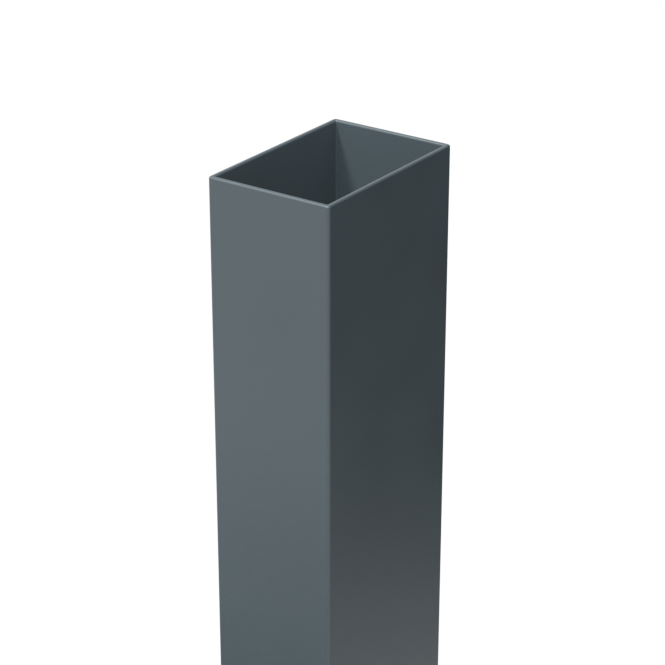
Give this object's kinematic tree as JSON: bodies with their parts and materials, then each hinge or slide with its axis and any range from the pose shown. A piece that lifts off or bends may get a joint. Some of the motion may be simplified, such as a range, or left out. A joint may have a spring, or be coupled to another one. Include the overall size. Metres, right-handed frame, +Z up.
{
  "type": "metal fence post",
  "caption": "Plain rectangular hollow steel fence post, open at both ends, with slightly rounded edges and a dark grey satin coating.",
  "frame": {"origin": "middle of the foot end, on the post's long axis", "axes": "+Z up along the post to its open top rim; +X along the fence line, across the 40 mm width; +Y across the 60 mm depth"},
  "size_m": [0.04, 0.06, 1.5],
  "materials": {
    "coating": "satin"
  },
  "bodies": {
    "root": {"fence_post": "coating"}
  },
  "joints": []
}
